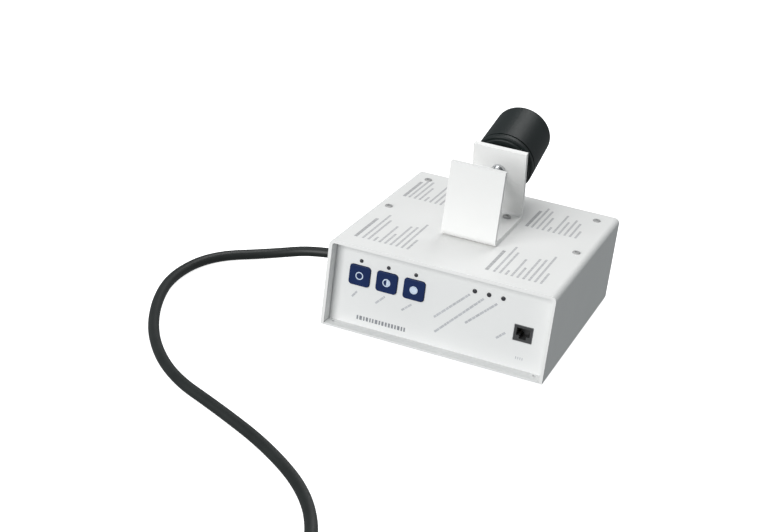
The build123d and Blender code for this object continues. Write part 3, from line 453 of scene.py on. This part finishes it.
def add_icon(node, fill):
    """Ring on a button's face: empty, half filled or full."""
    low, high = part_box(node)
    x = (low.x + high.x) / 2 / MM
    z = (low.z + high.z) / 2 / MM
    y = low.y / MM
    bm = bmesh.new()
    faces = ring_faces(bm, x, y, z, ICON_R - ICON_LINE, ICON_R)
    solid_from_faces(bm, faces, (0, -INK_T, 0))
    if fill == "half":
        face = sector_face(bm, x, y, z, HALF_FILL_R, -pi / 2, pi / 2)
        solid_from_faces(bm, [face], (0, -INK_T, 0))
    if fill == "full":
        almost_round = 2 * pi * (1 - 1 / ICON_SEGMENTS)
        face = sector_face(bm, x, y, z, FULL_FILL_R, 0.0, almost_round)
        solid_from_faces(bm, [face], (0, -INK_T, 0))
    return mesh_object(node + "_icon", bm)


marks = [add_long_labels(), add_button_labels(), add_title(), add_ticks(),
         add_roof_headings(), add_roof_rows()]
icons = [add_icon(node, fill) for node, fill in zip(BUTTONS, ("empty", "half", "full"))]


# --------------------------------------------------------------- materials
def new_material(name):
    material = bpy.data.materials.new(name)
    material.use_nodes = True
    tree = material.node_tree
    return material, tree, tree.nodes["Principled BSDF"]


def place_node(tree, stretch=(1, 1, 1), turn=(0, 0, 0)):
    """Object coordinates in metres, stretched to make grain run one way."""
    coords = tree.nodes.new("ShaderNodeTexCoord")
    mapping = tree.nodes.new("ShaderNodeMapping")
    mapping.inputs["Scale"].default_value = stretch
    mapping.inputs["Rotation"].default_value = turn
    tree.links.new(coords.outputs["Object"], mapping.inputs["Vector"])
    return mapping.outputs["Vector"]


def noise(tree, vector, scale, detail=4.0, roughness=0.55):
    node = tree.nodes.new("ShaderNodeTexNoise")
    node.inputs["Scale"].default_value = scale
    node.inputs["Detail"].default_value = detail
    node.inputs["Roughness"].default_value = roughness
    tree.links.new(vector, node.inputs["Vector"])
    return node.outputs["Fac"]


def colour_between(tree, factor, dark, light, low=0.35, high=0.65):
    node = tree.nodes.new("ShaderNodeValToRGB")
    node.color_ramp.elements[0].position = low
    node.color_ramp.elements[0].color = (*dark, 1)
    node.color_ramp.elements[1].position = high
    node.color_ramp.elements[1].color = (*light, 1)
    tree.links.new(factor, node.inputs["Fac"])
    return node.outputs["Color"]


def value_between(tree, factor, low, high):
    node = tree.nodes.new("ShaderNodeMapRange")
    node.inputs["From Min"].default_value = 0.3
    node.inputs["From Max"].default_value = 0.7
    node.inputs["To Min"].default_value = low
    node.inputs["To Max"].default_value = high
    tree.links.new(factor, node.inputs["Value"])
    return node.outputs["Result"]


def bump(tree, shader, height, distance, strength=1.0):
    node = tree.nodes.new("ShaderNodeBump")
    node.inputs["Distance"].default_value = distance
    node.inputs["Strength"].default_value = strength
    tree.links.new(height, node.inputs["Height"])
    tree.links.new(node.outputs["Normal"], shader.inputs["Normal"])


def shade(colour, factor):
    return tuple(c * factor for c in colour)


def surface(name, colour, rough, spread=0.08, metallic=0.0, tint=0.06, tint_scale=40.0, grain=900.0,
            relief=0.00002, stretch=(1, 1, 1), specular=0.5, coat=0.0, sheen=0.0):
    """Solid finish: slow colour drift, uneven gloss and a fine relief."""
    material, tree, shader = new_material(name)
    shader.inputs["Metallic"].default_value = metallic
    shader.inputs["Specular IOR Level"].default_value = specular
    shader.inputs["Coat Weight"].default_value = coat
    shader.inputs["Coat Roughness"].default_value = 0.15
    shader.inputs["Sheen Weight"].default_value = sheen
    vector = place_node(tree, stretch)
    drift = noise(tree, vector, tint_scale, detail=3.0)
    colours = colour_between(tree, drift, shade(colour, 1 - tint), shade(colour, 1 + tint))
    tree.links.new(colours, shader.inputs["Base Color"])
    fine = noise(tree, vector, grain, detail=5.0)
    tree.links.new(value_between(tree, fine, rough - spread, rough + spread), shader.inputs["Roughness"])
    bump(tree, shader, fine, relief)
    return material


def circuit_board(name):
    """Green lacquer over copper tracks that run both ways."""
    material, tree, shader = new_material(name)
    vector = place_node(tree)
    tracks = tree.nodes.new("ShaderNodeTexBrick")
    tracks.inputs["Scale"].default_value = 140.0
    tracks.inputs["Mortar Size"].default_value = 0.03
    tracks.inputs["Color1"].default_value = (0.010, 0.085, 0.030, 1)
    tracks.inputs["Color2"].default_value = (0.012, 0.105, 0.038, 1)
    tracks.inputs["Mortar"].default_value = (0.035, 0.22, 0.075, 1)
    tree.links.new(vector, tracks.inputs["Vector"])
    tree.links.new(tracks.outputs["Color"], shader.inputs["Base Color"])
    shader.inputs["Roughness"].default_value = 0.35
    bump(tree, shader, tracks.outputs["Fac"], 0.00004)
    return material


def cable_sheath(name):
    """Extruded black rubber, slightly dusty, with a fine grain."""
    material, tree, shader = new_material(name)
    vector = place_node(tree)
    dust = noise(tree, vector, 60.0, detail=5.0)
    colours = colour_between(tree, dust, (0.005, 0.0072, 0.0068), (0.010, 0.013, 0.0122))
    tree.links.new(colours, shader.inputs["Base Color"])
    fine = noise(tree, vector, 2200.0, detail=4.0)
    tree.links.new(value_between(tree, fine, 0.40, 0.54), shader.inputs["Roughness"])
    shader.inputs["Specular IOR Level"].default_value = 0.5
    bump(tree, shader, fine, 0.00003)
    return material


def clear_glass(name):
    material, tree, shader = new_material(name)
    vector = place_node(tree)
    faint = noise(tree, vector, 300.0)
    tree.links.new(value_between(tree, faint, 0.02, 0.05), shader.inputs["Roughness"])
    shader.inputs["Base Color"].default_value = (0.93, 0.96, 0.97, 1)
    shader.inputs["Transmission Weight"].default_value = 0.95
    shader.inputs["IOR"].default_value = 1.5
    return material


def woven_strap(name):
    material, tree, shader = new_material(name)
    vector = place_node(tree)
    weave = tree.nodes.new("ShaderNodeTexWave")
    weave.inputs["Scale"].default_value = 380.0
    weave.inputs["Distortion"].default_value = 2.0
    tree.links.new(vector, weave.inputs["Vector"])
    colours = colour_between(tree, weave.outputs["Fac"], (0.006, 0.006, 0.007), (0.02, 0.02, 0.022))
    tree.links.new(colours, shader.inputs["Base Color"])
    shader.inputs["Roughness"].default_value = 0.85
    shader.inputs["Sheen Weight"].default_value = 0.3
    bump(tree, shader, weave.outputs["Fac"], 0.0002)
    return material


WHITE_PAINT = (0.83, 0.83, 0.82)
BRACKET_WHITE = (0.835, 0.835, 0.825)
PANEL_WHITE = (0.785, 0.79, 0.785)
NAVY = (0.007, 0.021, 0.088)
BLACK = (0.011, 0.012, 0.013)
STEEL = (0.50, 0.51, 0.52)
ALUMINIUM = (0.56, 0.57, 0.58)
BRASS = (0.52, 0.38, 0.14)
LENGTHWISE = (0.12, 1, 1)


def make_materials():
    """Every finish by the record's slot name."""
    paint = {"grain": 1400.0, "relief": 0.00004, "tint": 0.015, "tint_scale": 9.0, "specular": 0.2}
    plastic = {"grain": 1800.0, "relief": 0.00003, "tint": 0.12, "tint_scale": 30.0}
    metal = {"metallic": 1.0, "grain": 700.0, "relief": 0.00001, "stretch": LENGTHWISE, "tint": 0.06}
    screws = {"metallic": 0.4, "grain": 1500.0, "relief": 0.00001, "tint": 0.05, "tint_scale": 90.0}
    turned = {"metallic": 1.0, "grain": 1500.0, "relief": 0.00001, "tint": 0.05, "tint_scale": 90.0}
    return {
        "bracket_paint": surface("bracket_paint", BRACKET_WHITE, 0.42, **paint),
        "cover_paint": surface("cover_paint", WHITE_PAINT, 0.42, **paint),
        "panel_paint": surface("panel_paint", PANEL_WHITE, 0.46, **paint),
        "base_steel": surface("base_steel", STEEL, 0.38, **metal),
        "foot_rubber": surface("foot_rubber", BLACK, 0.75, sheen=0.1, **plastic),
        "post_aluminium": surface("post_aluminium", ALUMINIUM, 0.32, **turned),
        "screw_chrome": surface("screw_chrome", (0.42, 0.42, 0.42), 0.5, **screws),
        "screw_steel": surface("screw_steel", STEEL, 0.30, **turned),
        "button_plastic": surface("button_plastic", NAVY, 0.45, spread=0.05, grain=2400.0, tint=0.08,
                                  tint_scale=60.0, relief=0.00002, specular=0.2),
        "black_plastic": surface("black_plastic", (0.024, 0.025, 0.026), 0.45, **plastic),
        "circuit_board": circuit_board("circuit_board"),
        "spacer_brass": surface("spacer_brass", BRASS, 0.28, **turned),
        "chip_plastic": surface("chip_plastic", (0.012, 0.012, 0.012), 0.6, **plastic),
        "indicator_dark": surface("indicator_dark", (0.042, 0.042, 0.048), 0.22, **plastic),
        "socket_plastic": surface("socket_plastic", (0.045, 0.046, 0.048), 0.5, **plastic),
        "jack_metal": surface("jack_metal", (0.42, 0.43, 0.44), 0.34, **metal),
        "contact_gold": surface("contact_gold", (0.75, 0.55, 0.20), 0.2, **turned),
        "turned_aluminium": surface("turned_aluminium", ALUMINIUM, 0.28, **turned),
        "black_nut": surface("black_nut", BLACK, 0.4, **plastic),
        "ferrule_steel": surface("ferrule_steel", (0.58, 0.59, 0.60), 0.2, **turned),
        "black_metal": surface("black_metal", BLACK, 0.55, **plastic),
        "clear_glass": clear_glass("clear_glass"),
        "emitter_board_aluminium": surface("emitter_board_aluminium", (0.75, 0.75, 0.74), 0.4, **paint),
        "emitter_plastic": surface("emitter_plastic", (0.78, 0.62, 0.10), 0.3, **plastic),
        "sink_aluminium": surface("sink_aluminium", (0.42, 0.43, 0.44), 0.36, **metal),
        "core_iron": surface("core_iron", (0.065, 0.066, 0.070), 0.6, grain=600.0, relief=0.0001),
        "winding_tape": surface("winding_tape", (0.55, 0.32, 0.035), 0.3, coat=0.4, **plastic),
        "capacitor_sleeve": surface("capacitor_sleeve", (0.010, 0.020, 0.065), 0.28, coat=0.3, **plastic),
        "connector_white": surface("connector_white", (0.76, 0.74, 0.68), 0.45, **paint),
        "fuse_glass": clear_glass("fuse_glass"),
        "clip_brass": surface("clip_brass", BRASS, 0.3, **turned),
        "guard_chrome": surface("guard_chrome", (0.60, 0.61, 0.62), 0.18, **turned),
        "inlet_plastic": surface("inlet_plastic", BLACK, 0.4, **plastic),
        "pin_brass": surface("pin_brass", (0.60, 0.47, 0.22), 0.24, **turned),
        "switch_plastic": surface("switch_plastic", BLACK, 0.42, **plastic),
        "rocker_plastic": surface("rocker_plastic", (0.013, 0.013, 0.014), 0.25, coat=0.4, **plastic),
        "bush_brass": surface("bush_brass", (0.60, 0.61, 0.62), 0.26, **turned),
        "screw_thread_steel": surface("screw_thread_steel", STEEL, 0.3, **turned),
        "ring_steel": surface("ring_steel", STEEL, 0.26, **turned),
        "pad_aluminium": surface("pad_aluminium", ALUMINIUM, 0.3, **turned),
        "pad_rubber": surface("pad_rubber", BLACK, 0.8, sheen=0.1, **plastic),
        "knob_plastic": surface("knob_plastic", (0.004, 0.008, 0.008), 0.48, spread=0.06, grain=1500.0,
                                relief=0.00006, tint=0.15, tint_scale=25.0, specular=0.36),
        "knob_cap_plastic": surface("knob_cap_plastic", (0.014, 0.015, 0.016), 0.5, **plastic),
        "cable_sheath": cable_sheath("cable_sheath"),
        "relief_rubber": surface("relief_rubber", BLACK, 0.6, sheen=0.1, **plastic),
        "sleeve_plastic": surface("sleeve_plastic", BLACK, 0.4, **plastic),
    }


def paint(obj, material):
    if obj.material_slots:
        for material_slot in obj.material_slots:
            material_slot.material = material
    else:
        obj.data.materials.append(material)


def paint_cad_nodes(materials):
    """Gives each CAD node the finish of its own slot."""
    for part in frame["record"]["subparts"]:
        node = NODES[part["node"]]
        paint(node, materials[part["material_slot"]])


materials = make_materials()
paint_cad_nodes(materials)
legend_ink = surface("legend_ink", (0.50, 0.51, 0.53), 0.6, tint=0.1, tint_scale=300.0)
title_ink = surface("title_ink", (0.24, 0.25, 0.27), 0.6, tint=0.1, tint_scale=300.0)
roof_ink = surface("roof_ink", (0.50, 0.50, 0.51), 0.6, tint=0.1, tint_scale=300.0)
roof_title_ink = surface("roof_title_ink", (0.42, 0.42, 0.43), 0.6, tint=0.1, tint_scale=300.0)
icon_ink = surface("icon_ink", (0.62, 0.72, 0.86), 0.5, tint=0.05, tint_scale=300.0)
strap_weave = woven_strap("strap_weave")

# ------------------------------------------------------ who rides on what
inks = (legend_ink, legend_ink, title_ink, legend_ink, roof_title_ink, roof_ink)
for mark, ink in zip(marks, inks):
    paint(mark, ink)
    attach(mark, ROOT)
for icon, node in zip(icons, BUTTONS):
    paint(icon, icon_ink)
    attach(icon, NODES[node]["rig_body"])

for piece, material, slot_name in (
    (guide, materials["cable_sheath"], "cable_sheath"),
    (boot, materials["relief_rubber"], "relief_rubber"),
    (tie, strap_weave, "cable_sheath"),
):
    paint(piece, material)
    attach(piece, ROOT)
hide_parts("light_guide_cable", "light_guide_coil")
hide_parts("strain_relief")


# ------------------------------------------------------------ floor and light
FLOOR_HALF = 40.0


def add_floor():
    bm = bmesh.new()
    bmesh.ops.create_grid(bm, x_segments=1, y_segments=1, size=FLOOR_HALF / MM)
    floor = mesh_object("floor", bm)
    material, tree, shader = new_material("pale_floor")
    shader.inputs["Base Color"].default_value = (0.88, 0.88, 0.88, 1)
    shader.inputs["Roughness"].default_value = 0.9
    shader.inputs["Specular IOR Level"].default_value = 0.0
    shader.inputs["Emission Color"].default_value = (1, 1, 1, 1)
    shader.inputs["Emission Strength"].default_value = 0.85
    paint(floor, material)
    floor.visible_diffuse = False
    floor.visible_glossy = False


def add_area_light(name, place, aim, size, power, colour=(1, 1, 1)):
    data = bpy.data.lights.new(name, "AREA")
    data.shape = "SQUARE"
    data.size = size
    data.energy = power
    data.color = colour
    light = link(bpy.data.objects.new(name, data))
    direction = Vector(aim) - Vector(place)
    light.matrix_world = Matrix.Translation(place) @ direction.to_track_quat("-Z", "Y").to_matrix().to_4x4()


def add_world():
    world = bpy.data.worlds.new("world")
    world.use_nodes = True
    background = world.node_tree.nodes["Background"]
    background.inputs["Color"].default_value = (0.93, 0.98, 1.0, 1)
    background.inputs["Strength"].default_value = 0.29
    bpy.context.scene.world = world


add_floor()
add_world()
add_area_light("front_light", (-0.96, -2.65, 1.03), (0, 0, 0.06), 1.6, 71.0)
add_area_light("top_light", (-0.05, 0.10, 2.00), (0, 0, 0.08), 1.0, 11.5)
add_area_light("rear_light", (0.15, 1.05, 1.80), (0, 0, 0.13), 1.0, 11.0)
bpy.context.scene.view_settings.view_transform = "Standard"
